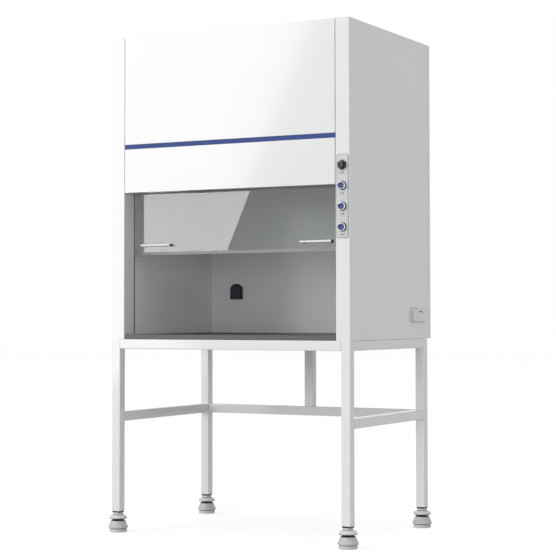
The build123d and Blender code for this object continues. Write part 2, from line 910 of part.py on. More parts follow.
def volute(inset):
    """The scroll's outline, drawn inset inside its outer face."""
    first = scroll_radius - inset
    second = first + scroll_growth
    third = second + scroll_growth
    tongue_x = outlet_inner + inset
    tongue_z = sqrt(first**2 - tongue_x**2)
    half_way = radians((tongue_angle + 180) / 2)
    with BuildSketch(mode=Mode.PRIVATE) as outline:
        with BuildLine():
            ThreePointArc(
                (fan_x + tongue_x, fan_height + tongue_z),
                (fan_x + first * cos(half_way), fan_height + first * sin(half_way)),
                (fan_x - first, fan_height),
            )
            ThreePointArc(
                (fan_x - first, fan_height),
                (
                    fan_x + scroll_growth - second * cos(radians(45)),
                    fan_height - second * sin(radians(45)),
                ),
                (fan_x + scroll_growth, fan_height - second),
            )
            ThreePointArc(
                (fan_x + scroll_growth, fan_height - second),
                (
                    fan_x + scroll_growth + third * cos(radians(45)),
                    fan_height + scroll_growth - third * sin(radians(45)),
                ),
                (fan_x + scroll_growth + third, fan_height + scroll_growth),
            )
            Polyline(
                (fan_x + scroll_growth + third, fan_height + scroll_growth),
                (fan_x + scroll_growth + third, scroll_top),
                (fan_x + tongue_x, scroll_top),
                (fan_x + tongue_x, fan_height + tongue_z),
            )
        make_face()
    return outline.sketch


def air_way(inset, overrun):
    """The scroll and its neck as one solid, inset inside the outer faces."""
    neck_width = outlet_outer - outlet_inner - 2 * inset
    neck_depth = fan_width - 2 * inset
    with BuildPart(mode=Mode.PRIVATE) as solid:
        with BuildSketch(facing(duct_y - fan_width / 2 + inset)):
            add(volute(inset))
        extrude(amount=-(fan_width - 2 * inset))
        with BuildSketch(level(scroll_top)):
            with Locations(duct_centre):
                Rectangle(neck_width, neck_depth)
        with BuildSketch(level(roof_bottom - joint_gap)):
            with Locations(duct_centre):
                Circle(neck_radius - inset)
        loft()
        if overrun:
            with BuildSketch(level(roof_bottom - joint_gap)):
                with Locations(duct_centre):
                    Circle(neck_radius - inset)
            extrude(amount=overrun)
    return solid.part


fan_front = duct_y - fan_width / 2
fan_back = duct_y + fan_width / 2
with BuildPart() as fan_scroll:
    add(air_way(0, 0))
    with BuildSketch(level(roof_bottom - joint_gap)):
        with Locations(duct_centre):
            Circle(neck_radius + collar_flange)
    extrude(amount=-collar_flange_thickness)
    with BuildSketch(facing(fan_front)):
        with Locations((fan_x, fan_height)):
            Circle(inlet_radius + scroll_wall)
    extrude(amount=inlet_lip)
    add(air_way(scroll_wall, joint_gap), mode=Mode.SUBTRACT)
    with BuildSketch(facing(fan_front + scroll_wall)):
        with Locations((fan_x, fan_height)):
            Circle(inlet_radius)
    extrude(amount=inlet_lip + scroll_wall, mode=Mode.SUBTRACT)
    with BuildSketch(facing(fan_back)):
        with Locations((fan_x, fan_height)):
            Circle(motor_nose_radius + joint_gap)
    extrude(amount=scroll_wall, mode=Mode.SUBTRACT)
keep(fan_scroll, "fan_scroll")

# Impeller: a backplate with a hub and shaft, forward-curved blades and a front ring
blade_inner = impeller_bore_radius
blade_outer = impeller_radius - blade_inset
with BuildSketch() as blade_section:
    with BuildLine():
        ThreePointArc(
            (blade_inner, 0),
            ((blade_inner + blade_outer) / 2, -blade_bow),
            (blade_outer, 0),
        )
        offset(amount=blade_thickness, side=Side.LEFT)
    make_face()
impeller_back = fan_back - scroll_wall - (fan_width - 2 * scroll_wall - impeller_width) / 2
impeller_plane = Plane(
    origin=(fan_x, front + impeller_back, fan_height), x_dir=(1, 0, 0), z_dir=(0, -1, 0)
)
with BuildPart() as fan_impeller:
    with BuildSketch(impeller_plane):
        Circle(impeller_radius)
    extrude(amount=impeller_plate)
    with BuildSketch(impeller_plane):
        with PolarLocations(0, blade_count):
            add(blade_section.sketch)
    extrude(amount=impeller_width)
    with BuildSketch(impeller_plane.offset(impeller_width)):
        Circle(impeller_radius)
        Circle(impeller_bore_radius - blade_thickness, mode=Mode.SUBTRACT)
    extrude(amount=-impeller_plate)
    with BuildSketch(impeller_plane):
        Circle(hub_radius)
    extrude(amount=hub_length)
    with BuildSketch(impeller_plane):
        Circle(shaft_radius)
    extrude(amount=-(fan_back - impeller_back + shaft_reach))
keep(fan_impeller, "fan_impeller")

# Motor: a finned drum with a nose that fits the scroll's back plate
motor_plane = Plane(origin=(fan_x, front + fan_back + joint_gap, fan_height), x_dir=(1, 0, 0), z_dir=(0, 1, 0))
with BuildPart() as fan_motor:
    with BuildSketch(motor_plane):
        Circle(motor_radius)
        with PolarLocations(motor_radius, motor_fin_count):
            Rectangle(2 * motor_fin, motor_fin)
    extrude(amount=motor_length)
    with BuildSketch(motor_plane):
        Circle(motor_nose_radius)
    extrude(amount=-(scroll_wall + joint_gap))
    with BuildSketch(motor_plane.offset(motor_length)):
        Circle(motor_nose_radius)
    extrude(amount=motor_nose)
    with BuildSketch(motor_plane.offset(-scroll_wall - joint_gap)):
        Circle(shaft_radius + running_gap)
    extrude(amount=scroll_wall + shaft_reach + shaft_end_gap, mode=Mode.SUBTRACT)
keep(fan_motor, "fan_motor")

# Lamp: a trough with a rounded diffuser, under the ceiling
with BuildPart() as lamp:
    with BuildSketch(side_on(-lamp_length / 2)):
        between(lamp_front, lamp_front + lamp_depth, chamber_top - lamp_height, chamber_top)
        fillet(vertices().group_by(Axis.Y)[0], lamp_corner)
    extrude(amount=lamp_length)
keep(lamp, "lamp")

# Control plate on the right post
with BuildPart() as control_plate:
    with BuildSketch(facing(-joint_gap)):
        with Locations((control_x, plate_bottom + plate_height / 2)):
            RectangleRounded(plate_width, plate_height, plate_corner)
        with Locations(*[(control_x, z) for z in control_heights]):
            Circle(barrel_radius + joint_gap, mode=Mode.SUBTRACT)
    extrude(amount=plate_thickness)
keep(control_plate, "control_plate")

# Switch bodies: a six-sided one with a spindle on top, then three round ones with bores for their buttons
plate_face = joint_gap + plate_thickness + joint_gap
ring_face = plate_face + ring_thickness
body_face = ring_face + body_length
button_face = body_face + button_proud
with BuildPart() as switch_bodies:
    with BuildSketch(facing(-plate_face)):
        with Locations((control_x, control_heights[0])):
            RegularPolygon(knob_base_across / 2, 6, major_radius=False)
    extrude(amount=knob_base)
    with BuildSketch(facing(-plate_face - knob_base)):
        with Locations((control_x, control_heights[0])):
            Circle(spindle_radius)
    extrude(amount=spindle_length)
    with BuildSketch(facing(-plate_face)):
        with Locations(*[(control_x, z) for z in control_heights[1:]]):
            Circle(ring_radius)
    extrude(amount=ring_thickness)
    with BuildSketch(facing(-ring_face)):
        with Locations(*[(control_x, z) for z in control_heights[1:]]):
            Circle(body_radius)
    extrude(amount=body_length)
    with BuildSketch(facing(-plate_face)):
        with Locations(*[(control_x, z) for z in control_heights]):
            Circle(barrel_radius)
    extrude(amount=-barrel_length)
    with BuildSketch(facing(-body_face)):
        with Locations(*[(control_x, z) for z in control_heights[1:]]):
            Circle(button_radius + running_gap)
    extrude(amount=-(body_length + ring_thickness - switch_floor), mode=Mode.SUBTRACT)
keep(switch_bodies, "switch_bodies")

# Rotary knob: a tapered cap on the spindle
knob_back = plate_face + knob_base + joint_gap
with BuildPart() as rotary_knob:
    with BuildSketch(facing(-knob_back)):
        with Locations((control_x, control_heights[0])):
            Circle(knob_radius)
    extrude(amount=knob_length, taper=knob_taper)
    with BuildSketch(facing(-knob_back)):
        with Locations((control_x, control_heights[0])):
            Circle(spindle_radius + running_gap)
    extrude(amount=spindle_length, mode=Mode.SUBTRACT)
keep(rotary_knob, "rotary_knob")

# Push buttons with a dished face
bore_depth = body_length + ring_thickness - switch_floor
button_depth = bore_depth + button_proud - button_travel - moving_gap
dish_edge = button_radius - button_edge
dish_radius = (dish_edge**2 + button_dish**2) / (2 * button_dish)
dish_middle = button_depth - button_dish + dish_radius - sqrt(dish_radius**2 - dish_edge**2 / 4)
with BuildLine() as button_outline:
    Polyline(
        (0, button_depth - button_dish),
        (0, 0),
        (button_radius, 0),
        (button_radius, button_depth),
        (dish_edge, button_depth),
    )
    ThreePointArc(
        (dish_edge, button_depth),
        (dish_edge / 2, dish_middle),
        (0, button_depth - button_dish),
    )
button_body = turned(button_outline.line)
for name, z in zip(("upper_button", "middle_button", "lower_button"), control_heights[1:]):
    with BuildPart() as button:
        with Locations(
            Plane(origin=(control_x, front - (button_face - button_depth), z), z_dir=(0, -1, 0))
        ):
            add(button_body)
    keep(button, name)

# Socket on the rear wall: an arch-topped base with a body behind the wall, under a hinged flap
def arch(inset):
    """The socket's outline, drawn inset inside its edge: straight sides under a round top."""
    half = socket_width / 2 - inset
    low = socket_bottom + inset
    top = socket_bottom + socket_height - inset
    shoulder = top - half * arch_rise
    with BuildSketch(mode=Mode.PRIVATE) as outline:
        with BuildLine():
            Polyline(
                (socket_x - half, shoulder),
                (socket_x - half, low),
                (socket_x + half, low),
                (socket_x + half, shoulder),
            )
            ThreePointArc((socket_x + half, shoulder), (socket_x, top), (socket_x - half, shoulder))
        make_face()
    return outline.sketch


socket_back = chamber_depth - joint_gap
socket_face = socket_back - socket_base
flap_back = socket_face - joint_gap
hinge_y = flap_back - hinge_radius
hinge_z = socket_bottom + socket_height - flap_inset - hinge_radius
ear_half = hinge_length / 2
knuckle_half = ear_half - hinge_knuckle
with BuildPart() as socket_box:
    with BuildSketch(facing(socket_back)):
        add(arch(0))
    extrude(amount=socket_base)
    with BuildSketch(facing(socket_back)):
        with Locations(socket_centre):
            Rectangle(socket_body, socket_body)
    extrude(amount=-socket_body_depth)
    with BuildSketch(facing(socket_face)):
        with Locations((socket_x, socket_centre[1] - flap_inset)):
            Circle(socket_well_radius)
    extrude(amount=-socket_well_depth, mode=Mode.SUBTRACT)
    with BuildSketch(side_on(socket_x - ear_half)):
        with Locations((hinge_y, hinge_z)):
            Circle(hinge_radius)
        between(hinge_y, socket_face, hinge_z - hinge_radius, hinge_z + hinge_radius)
    extrude(amount=hinge_length)
    with BuildSketch(side_on(socket_x - knuckle_half - joint_gap)):
        between(
            hinge_y - 2 * hinge_radius,
            socket_face,
            hinge_z - 2 * hinge_radius,
            hinge_z + 2 * hinge_radius,
        )
    extrude(amount=2 * (knuckle_half + joint_gap), mode=Mode.SUBTRACT)
    with BuildSketch(side_on(socket_x - ear_half)):
        with Locations((hinge_y, hinge_z)):
            Circle(hinge_pin_radius)
    extrude(amount=hinge_length)
keep(socket_box, "socket_box")

flap_top = hinge_z - hinge_radius - joint_gap
with BuildPart() as socket_flap:
    with BuildSketch(facing(flap_back)):
        add(arch(flap_inset))
        between(-half_width, half_width, flap_top, height, mode=Mode.SUBTRACT)
    extrude(amount=flap_thickness)
    with BuildSketch(facing(flap_back)):
        add(arch(flap_inset + flap_wall))
        between(-half_width, half_width, flap_top - flap_wall, height, mode=Mode.SUBTRACT)
    extrude(amount=flap_thickness - flap_wall, mode=Mode.SUBTRACT)
    with BuildSketch(side_on(socket_x - knuckle_half)):
        with Locations((hinge_y, hinge_z)):
            Circle(hinge_radius)
        between(hinge_y - hinge_radius, hinge_y, flap_top - flap_wall, hinge_z)
    extrude(amount=2 * knuckle_half)
    with BuildSketch(side_on(socket_x - knuckle_half)):
        with Locations((hinge_y, hinge_z)):
            Circle(hinge_pin_radius + running_gap)
    extrude(amount=2 * knuckle_half, mode=Mode.SUBTRACT)
keep(socket_flap, "socket_flap")

# Service outlet on the right side: a base plate over a body in the wall, with a lid hinged at its top
plate_out = half_width + joint_gap
plate_outer = plate_out + outlet_plate
lid_back = plate_outer + joint_gap
lid_hinge_x = lid_back + hinge_radius
lid_hinge_z = outlet_bottom + outlet_height - hinge_radius - joint_gap
lid_y = outlet_front + outlet_width / 2
with BuildPart() as service_outlet:
    with BuildSketch(side_on(plate_out)):
        with Locations(outlet_centre):
            RectangleRounded(outlet_width, outlet_height, outlet_corner)
    extrude(amount=outlet_plate)
    with BuildSketch(side_on(plate_out)):
        with Locations(outlet_centre):
            Rectangle(outlet_body_width, outlet_body_height)
    extrude(amount=-outlet_body_depth)
    with BuildSketch(side_on(plate_outer)):
        with Locations((lid_y - outlet_well_spacing / 2, outlet_centre[1] - outlet_well_drop)):
            Circle(socket_well_radius)
        with Locations((lid_y + outlet_well_spacing / 2, outlet_centre[1] - outlet_well_drop)):
            Circle(socket_well_radius)
    extrude(amount=-socket_well_depth, mode=Mode.SUBTRACT)
    with BuildSketch(facing(lid_y - lid_length / 2)):
        with Locations((lid_hinge_x, lid_hinge_z)):
            Circle(hinge_radius)
        between(plate_outer, lid_hinge_x, lid_hinge_z - hinge_radius, lid_hinge_z + hinge_radius)
    extrude(amount=-lid_length)
    with BuildSketch(facing(lid_y - lid_length / 2 + hinge_knuckle - joint_gap)):
        between(
            plate_outer,
            lid_hinge_x + 2 * hinge_radius,
            lid_hinge_z - 2 * hinge_radius,
            lid_hinge_z + 2 * hinge_radius,
        )
    extrude(amount=-(lid_length - 2 * hinge_knuckle + 2 * joint_gap), mode=Mode.SUBTRACT)
    with BuildSketch(facing(lid_y - lid_length / 2)):
        with Locations((lid_hinge_x, lid_hinge_z)):
            Circle(hinge_pin_radius)
    extrude(amount=-lid_length)
keep(service_outlet, "service_outlet")

lid_width = outlet_width - 2 * lid_inset
lid_top = lid_hinge_z - hinge_radius - joint_gap
lid_bottom = outlet_bottom + lid_inset / 2
knuckle_length = lid_length - 2 * hinge_knuckle
with BuildPart() as service_lid:
    with BuildSketch(side_on(lid_back)):
        between(lid_y - lid_width / 2, lid_y + lid_width / 2, lid_bottom, lid_top)
        fillet(vertices(), outlet_corner)
    extrude(amount=lid_thickness)
    with BuildSketch(side_on(lid_back)):
        between(
            lid_y - lid_width / 2 + lid_wall,
            lid_y + lid_width / 2 - lid_wall,
            lid_bottom + lid_wall,
            lid_top - lid_wall,
        )
    extrude(amount=lid_thickness - lid_wall, mode=Mode.SUBTRACT)
    with BuildSketch(facing(lid_y - knuckle_length / 2)):
        with Locations((lid_hinge_x, lid_hinge_z)):
            Circle(hinge_radius)
        between(lid_hinge_x, lid_hinge_x + hinge_radius, lid_top - lid_wall, lid_hinge_z)
    extrude(amount=-knuckle_length)
    with BuildSketch(facing(lid_y - knuckle_length / 2)):
        with Locations((lid_hinge_x, lid_hinge_z)):
            Circle(hinge_pin_radius + running_gap)
    extrude(amount=-knuckle_length, mode=Mode.SUBTRACT)
keep(service_lid, "service_lid")

# Cable gland on the roof
with BuildPart() as cable_gland:
    with BuildSketch(level(roof_top + joint_gap)):
        with Locations((gland_x, gland_y)):
            RegularPolygon(gland_across / 2, 6, major_radius=False)
    extrude(amount=gland_height / 2)
    with BuildSketch(level(roof_top + joint_gap + gland_height / 2)):
        with Locations((gland_x, gland_y)):
            Circle(gland_across / 2)
    extrude(amount=gland_height / 2, taper=gland_taper)
    with BuildSketch(level(roof_top + joint_gap)):
        with Locations((gland_x, gland_y)):
            Circle(gland_thread_radius)
    extrude(amount=-gland_height / 2)
    with BuildSketch(level(roof_top + joint_gap - gland_height / 2)):
        with Locations((gland_x, gland_y)):
            Circle(gland_bore_radius)
    extrude(amount=1.5 * gland_height, mode=Mode.SUBTRACT)
keep(cable_gland, "cable_gland")
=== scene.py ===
import math

import bmesh
import bpy
from mathutils import Matrix, Vector


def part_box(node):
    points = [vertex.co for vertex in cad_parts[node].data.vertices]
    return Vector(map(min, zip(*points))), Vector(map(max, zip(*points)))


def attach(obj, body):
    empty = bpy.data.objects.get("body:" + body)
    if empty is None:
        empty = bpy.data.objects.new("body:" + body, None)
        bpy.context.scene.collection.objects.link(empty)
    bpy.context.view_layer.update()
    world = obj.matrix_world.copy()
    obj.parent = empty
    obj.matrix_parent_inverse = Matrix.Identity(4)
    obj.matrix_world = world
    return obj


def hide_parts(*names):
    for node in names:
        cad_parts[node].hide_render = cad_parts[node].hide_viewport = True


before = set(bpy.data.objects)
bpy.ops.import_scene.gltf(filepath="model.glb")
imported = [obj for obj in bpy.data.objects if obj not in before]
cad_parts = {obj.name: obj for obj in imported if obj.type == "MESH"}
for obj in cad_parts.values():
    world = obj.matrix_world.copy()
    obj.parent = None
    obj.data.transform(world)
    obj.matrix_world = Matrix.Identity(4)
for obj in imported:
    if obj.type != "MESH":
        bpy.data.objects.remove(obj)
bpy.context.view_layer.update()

# A ducted fume hood on a tubular stand. Metres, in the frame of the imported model: X to the right,
# Y to the back, Z up, the floor at zero. Sizes of small pieces are in millimetres times MM.
MM = 0.001

CORNERS = ("front_left", "front_right", "rear_left", "rear_right")
SMOOTH_ANGLE = math.radians(35)
BEVEL_SEGMENTS = 3


class Box:
    """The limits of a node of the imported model."""

    def __init__(self, node):
        self.low, self.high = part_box(node)
        self.mid = (self.low + self.high) / 2
        self.size = self.high - self.low


# The plane of the front panels' faces
FRONT = Box("upper_front_panel").low.y


# Shader maths

class Wire:
    """A node's output. Sums and products of wires and numbers add Math nodes."""

    def __init__(self, tree, socket):
        self.tree = tree
        self.socket = socket

    def combined(self, operation, first, second):
        node = self.tree.node("Math", {"operation": operation}, {0: first, 1: second})
        return node("Value")

    def __add__(self, other):
        return self.combined("ADD", self, other)

    def __radd__(self, other):
        return self.combined("ADD", other, self)

    def __mul__(self, other):
        return self.combined("MULTIPLY", self, other)

    def __rmul__(self, other):
        return self.combined("MULTIPLY", other, self)

    def __gt__(self, other):
        return self.combined("GREATER_THAN", self, other)

    def __lt__(self, other):
        return self.combined("LESS_THAN", self, other)

    def largest(self, other):
        return self.combined("MAXIMUM", self, other)


class Tree:
    """A node tree whose nodes are added one call at a time."""

    def __init__(self, owner):
        owner.use_nodes = True
        self.owner = owner
        self.nodes = owner.node_tree.nodes
        self.links = owner.node_tree.links
        self.nodes.clear()

    def node(self, kind, settings=None, sockets=None):
        """Adds a node: its type, its settings, then the values or links of its sockets.

        Returns a function that gives its outputs by name.
        """
        node = self.nodes.new("ShaderNode" + kind)
        for key, value in (settings or {}).items():
            setattr(node, key, value)
        for key, value in (sockets or {}).items():
            socket = find(node.inputs, key)
            if isinstance(value, Wire):
                self.links.new(value.socket, socket)
            else:
                socket.default_value = value
        return lambda key: Wire(self, find(node.outputs, key))


def find(sockets, key):
    """A socket by its place, its identifier or its name."""
    if isinstance(key, int):
        return sockets[key]
    for socket in sockets:
        if socket.identifier == key:
            return socket
    return sockets[key]


def mixed(tree, share, first, second):
    """The first colour where share is 0 and the second where it is 1."""
    node = tree.node(
        "Mix",
        {"data_type": "RGBA"},
        {"Factor_Float": share, "A_Color": first, "B_Color": second},
    )
    return node("Result_Color")


def noise(tree, size, detail=2.0):
    """Noise with lumps of about that size in metres, from 0 to 1."""
    place = tree.node("TexCoord")("Object")
    sockets = {"Vector": place, "Scale": 1 / size, "Detail": detail, "Roughness": 0.5}
    return tree.node("TexNoise", {}, sockets)("Fac")


def bump(tree, height, distance):
    """A normal raised by height, where 1 is distance metres."""
    sockets = {"Height": height, "Distance": distance, "Strength": 1.0}
    return tree.node("Bump", {}, sockets)("Normal")


def surface(tree, sockets):
    """Ends a material with a Principled shader that has these sockets."""
    shader = tree.node("BsdfPrincipled", {}, sockets)("BSDF")
    tree.node("OutputMaterial", {}, {"Surface": shader})
    return tree.owner


def grey(value):
    return (value, value, value, 1)


def tint(red, green, blue):
    return (red, green, blue, 1)


def darkened(colour, share):
    """A colour with its red, green and blue taken down to a share."""
    return tuple(share * part for part in colour[:3]) + (1,)


# Finishes

def powder_coat(name, colour, roughness=0.07):
    """Gloss powder coat: a faint orange peel and a slightly uneven gloss."""
    tree = Tree(bpy.data.materials.new(name))
    peel = noise(tree, 3 * MM, 1)
    cloud = noise(tree, 160 * MM)
    return surface(tree, {
        "Base Color": mixed(tree, cloud, colour, darkened(colour, 0.975)),
        "Roughness": roughness + 0.03 * cloud,
        "IOR": 1.5,
        "Normal": bump(tree, peel, 0.002 * MM),
    })


def liner_board(name, colour):
    """Satin resin board: fine mottling, softly mirrored."""
    tree = Tree(bpy.data.materials.new(name))
    mottle = noise(tree, 6 * MM, 3)
    cloud = noise(tree, 200 * MM)
    return surface(tree, {
        "Base Color": mixed(tree, 0.5 * mottle + 0.5 * cloud, colour, darkened(colour, 0.94)),
        "Roughness": 0.17 + 0.06 * mottle,
        "IOR": 1.52,
        "Normal": bump(tree, mottle, 0.01 * MM),
    })


def speckled_slab(name, colour, fleck):
    """Dark moulded worktop with fine flecks."""
    tree = Tree(bpy.data.materials.new(name))
    flecks = noise(tree, 1.6 * MM) > 0.63
    cloud = noise(tree, 90 * MM, 3)
    return surface(tree, {
        "Base Color": mixed(tree, 0.5 * flecks + 0.15 * cloud, colour, fleck),
        "Roughness": 0.34 + 0.1 * cloud,
        "Normal": bump(tree, noise(tree, 2 * MM), 0.03 * MM),
    })


def moulded(name, colour, roughness, grain=0.05):
    """Moulded plastic with a fine spark-eroded grain, its depth in millimetres."""
    tree = Tree(bpy.data.materials.new(name))
    fine = noise(tree, 0.7 * MM)
    broad = noise(tree, 25 * MM)
    return surface(tree, {
        "Base Color": mixed(tree, broad, colour, darkened(colour, 0.9)),
        "Roughness": roughness + 0.08 * fine,
        "Normal": bump(tree, fine, grain * MM),
    })


def rubber(name, colour):
    """Matt rubber with a fine tooth."""
    return moulded(name, colour, roughness=0.7, grain=0.12)


def metal(name, colour, roughness, along):
    """Metal with fine drawing lines along one axis."""
    tree = Tree(bpy.data.materials.new(name))
    place = tree.node("TexCoord")("Object")
    stretch = {"X": (0.02, 1, 1), "Z": (1, 1, 0.02)}[along]
    drawn = tree.node("Mapping", {}, {"Vector": place, "Scale": stretch})("Vector")
    line_size = 0.5 * MM
    sockets = {"Vector": drawn, "Scale": 1 / line_size, "Detail": 2.0}
    lines = tree.node("TexNoise", {}, sockets)("Fac")
    return surface(tree, {
        "Base Color": mixed(tree, lines, colour, darkened(colour, 0.88)),
        "Metallic": 1.0,
        "Roughness": roughness + 0.12 * lines,
        "Normal": bump(tree, lines, 0.01 * MM),
    })


def casting(name, colour):
    """Painted or bare casting with a coarse skin."""
    tree = Tree(bpy.data.materials.new(name))
    skin = noise(tree, 2.5 * MM, 4)
    return surface(tree, {
        "Base Color": mixed(tree, skin, colour, darkened(colour, 0.8)),
        "Metallic": 0.6,
        "Roughness": 0.45 + 0.15 * skin,
        "Normal": bump(tree, skin, 0.25 * MM),
    })


def clear_glass(name):
    """Toughened glass with a trace of green and a few faint smears in its gloss."""
    tree = Tree(bpy.data.materials.new(name))
    smear = noise(tree, 120 * MM, 3)
    return surface(tree, {
        "Base Color": tint(0.955, 0.98, 0.97),
        "Roughness": 0.012 * smear,
        "IOR": 1.5,
        "Transmission Weight": 1.0,
    })


def lamp_diffuser(name):
    """Opal diffuser with fine prisms along its length."""
    tree = Tree(bpy.data.materials.new(name))
    place = tree.node("TexCoord")("Object")
    sockets = {"Vector": place, "Scale": 60.0, "Distortion": 0.0}
    prisms = tree.node("TexWave", {"bands_direction": "Y"}, sockets)("Fac")
    return surface(tree, {
        "Base Color": mixed(tree, prisms, grey(0.86), grey(0.78)),
        "Roughness": 0.35,
        "Normal": bump(tree, prisms, 0.3 * MM),
    })


WHITE = powder_coat("white_powder_coat", tint(0.87, 0.872, 0.875))
BLUE = powder_coat("blue_stripe_paint", tint(0.012, 0.044, 0.215), 0.55)
# One resin board lines the whole chamber: its greyer copy on the rear and ceiling liners is painted
# shade, its paler copy on the side liners painted light
SHADED_LINER_BOARD = liner_board("painted_shade_liner_board", tint(0.72, 0.725, 0.735))
LIT_LINER_BOARD = liner_board("painted_light_liner_board", tint(0.88, 0.885, 0.89))
SLAB = speckled_slab("dark_worktop", tint(0.075, 0.078, 0.09), tint(0.16, 0.165, 0.18))
GLASS = clear_glass("sash_glass")
ALUMINIUM = metal("anodised_aluminium", tint(0.72, 0.725, 0.735), 0.28, "Z")
BRIGHT_BAR = moulded("white_bar_coat", tint(0.92, 0.92, 0.925), 0.18, 0.01)
RAIL = moulded("sash_rail_coat", tint(0.30, 0.305, 0.31), 0.5, 0.01)
STEEL = metal("zinc_plated_steel", tint(0.56, 0.565, 0.58), 0.3, "Z")
PLATE_STEEL = metal("galvanised_sheet", tint(0.58, 0.59, 0.60), 0.38, "X")
CHROME = metal("switch_chrome", tint(0.86, 0.865, 0.87), 0.08, "Z")
MOTOR = casting("motor_casting", tint(0.10, 0.12, 0.15))
IRON = casting("counterweight_iron", tint(0.13, 0.13, 0.135))
BLACK = moulded("black_plastic", tint(0.012, 0.012, 0.016), 0.32)
GLOSS_BLACK = moulded("gloss_black_plastic", tint(0.008, 0.008, 0.012), 0.14, 0.01)
NAVY = moulded("navy_plastic", tint(0.014, 0.016, 0.034), 0.42)
CAP_BLUE = moulded("blue_button_cap", tint(0.010, 0.034, 0.20), 0.3, 0.01)
PALE = moulded("pale_grey_plastic", tint(0.62, 0.625, 0.635), 0.3)
FOOT_GREY = moulded("grey_foot_plastic", tint(0.60, 0.605, 0.615), 0.2, 0.02)
COLLAR_GREY = moulded("light_collar_plastic", tint(0.80, 0.805, 0.81), 0.2, 0.02)
PAD = rubber("grey_foot_pad", tint(0.72, 0.725, 0.735))
PLATE = moulded("control_plate_film", tint(0.70, 0.705, 0.715), 0.35, 0.02)
OUTLINE = moulded("plate_outline", tint(0.10, 0.10, 0.11), 0.5, 0.02)
INK = moulded("mark_ink", tint(0.03, 0.03, 0.04), 0.6, 0.01)
COVER = moulded("service_cover_plastic", tint(0.72, 0.725, 0.735), 0.3, 0.03)
COVER_LID = moulded("service_lid_plastic", tint(0.84, 0.845, 0.85), 0.25, 0.02)
DIFFUSER = lamp_diffuser("lamp_diffuser")

# Nodes of the model that show as they are, each in its finish
node_finishes = {
    WHITE: (
        "leg_front_left", "leg_front_right", "leg_rear_left", "leg_rear_right",
        "front_apron", "rear_apron", "left_apron", "right_apron",
        "left_lower_rail", "right_lower_rail", "rear_lower_rail", "rear_post",
        "left_side_panel", "right_side_panel", "roof_panel", "rear_panel",
        "upper_front_panel", "lower_fascia", "exhaust_collar",
    ),
    BLUE: ("stripe_insert",),
    # Paler and greyer copies of one board: painted light on the side liners, painted shade on the
    # rear and ceiling liners
    LIT_LINER_BOARD: ("left_liner", "right_liner"),
    SHADED_LINER_BOARD: ("rear_liner", "ceiling_liner"),
    SLAB: ("worktop",),
    GLASS: ("sash_glass",),
    RAIL: ("sash_bottom_rail",),
    ALUMINIUM: ("left_sash_track", "right_sash_track"),
    STEEL: ("sash_lift_brackets", "pulley_brackets", "sash_cables"),
    PLATE_STEEL: ("fan_scroll", "fan_impeller"),
    MOTOR: ("fan_motor",),
    IRON: ("left_counterweight", "right_counterweight"),
    BLACK: ("leg_inserts", "left_pulley", "right_pulley", "cable_gland"),
    NAVY: ("socket_box", "socket_flap"),
    COVER: ("service_outlet",),
    COVER_LID: ("service_lid",),
    DIFFUSER: ("lamp",),
}
for finish, nodes in node_finishes.items():
    for node in nodes:
        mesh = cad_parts[node].data
        mesh.materials.clear()
        mesh.materials.append(finish)


# Mesh helpers

def eased(points, radius, closed=False, steps=3):
    """A line through the points with each corner rounded off, over less than half of an edge."""
    longest_share = 0.45
    line = []
    for place, point in enumerate(points):
        corner = Vector(point)
        if not closed and place in (0, len(points) - 1):
            line.append(corner)
            continue
        before = Vector(points[place - 1]) - corner
        after = Vector(points[(place + 1) % len(points)]) - corner
        start = corner + before.normalized() * min(radius, before.length * longest_share)
        end = corner + after.normalized() * min(radius, after.length * longest_share)
        for step in range(steps + 1):
            share = step / steps
            line.append(start * (1 - share) ** 2 + corner * 2 * share * (1 - share) + end * share**2)
    return line


def stand(shape, name, finish, body, replaces=()):
    """Puts a bmesh into the scene as a smooth piece on a body, with its sharp edges kept."""
    bmesh.ops.recalc_face_normals(shape, faces=shape.faces)
    mesh = bpy.data.meshes.new(name)
    shape.to_mesh(mesh)
    shape.free()
    mesh.materials.append(finish)
    mesh.shade_smooth()
    mesh.set_sharp_from_angle(angle=SMOOTH_ANGLE)
    piece = bpy.data.objects.new(name, mesh)
    bpy.context.scene.collection.objects.link(piece)
    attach(piece, body)
    if replaces:
        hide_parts(*replaces)


def placed(origin, towards):
    """A matrix whose own Z points along a direction from origin."""
    turn = Vector(towards).to_track_quat("Z", "Y").to_matrix().to_4x4()
    return Matrix.Translation(origin) @ turn


def facing_front(x, y, z):
    """A matrix at a point, its X to the right, its Y up and its Z towards the user."""
    return Matrix(((1, 0, 0, x), (0, 0, -1, y), (0, 1, 0, z), (0, 0, 0, 1)))


def add_turned(mesh, profile, axes, steps=64):
    """Adds a solid turned about the matrix's Z axis from a line of (radius, height)."""
    rings = []
    for radius, height in profile:
        if radius < 1e-7:
            rings.append([mesh.verts.new(axes @ Vector((0, 0, height)))])
            continue
        ring = []
        for step in range(steps):
            angle = 2 * math.pi * step / steps
            point = Vector((radius * math.cos(angle), radius * math.sin(angle), height))
            ring.append(mesh.verts.new(axes @ point))
        rings.append(ring)
    for low, high in zip(rings, rings[1:]):
        for step in range(steps):
            after = (step + 1) % steps
            if len(low) == 1:
                mesh.faces.new((low[0], high[step], high[after]))
            elif len(high) == 1:
                mesh.faces.new((low[step], low[after], high[0]))
            else:
                mesh.faces.new((low[step], low[after], high[after], high[step]))


def add_slab(mesh, outline, low, high, axes, edge=0.0):
    """Adds a plate from a closed outline in the matrix's XY plane, with its edges rounded."""
    base = [mesh.verts.new(axes @ Vector((x, y, low))) for x, y in outline]
    top = [mesh.verts.new(axes @ Vector((x, y, high))) for x, y in outline]
    count = len(outline)
    under = mesh.faces.new(base)
    over = mesh.faces.new(top)
    for place in range(count):
        after = (place + 1) % count
        mesh.faces.new((base[place], base[after], top[after], top[place]))
    if edge:
        rims = [*under.edges, *over.edges]
        bmesh.ops.bevel(
            mesh, geom=rims, offset=edge, segments=BEVEL_SEGMENTS, affect="EDGES", profile=0.5
        )


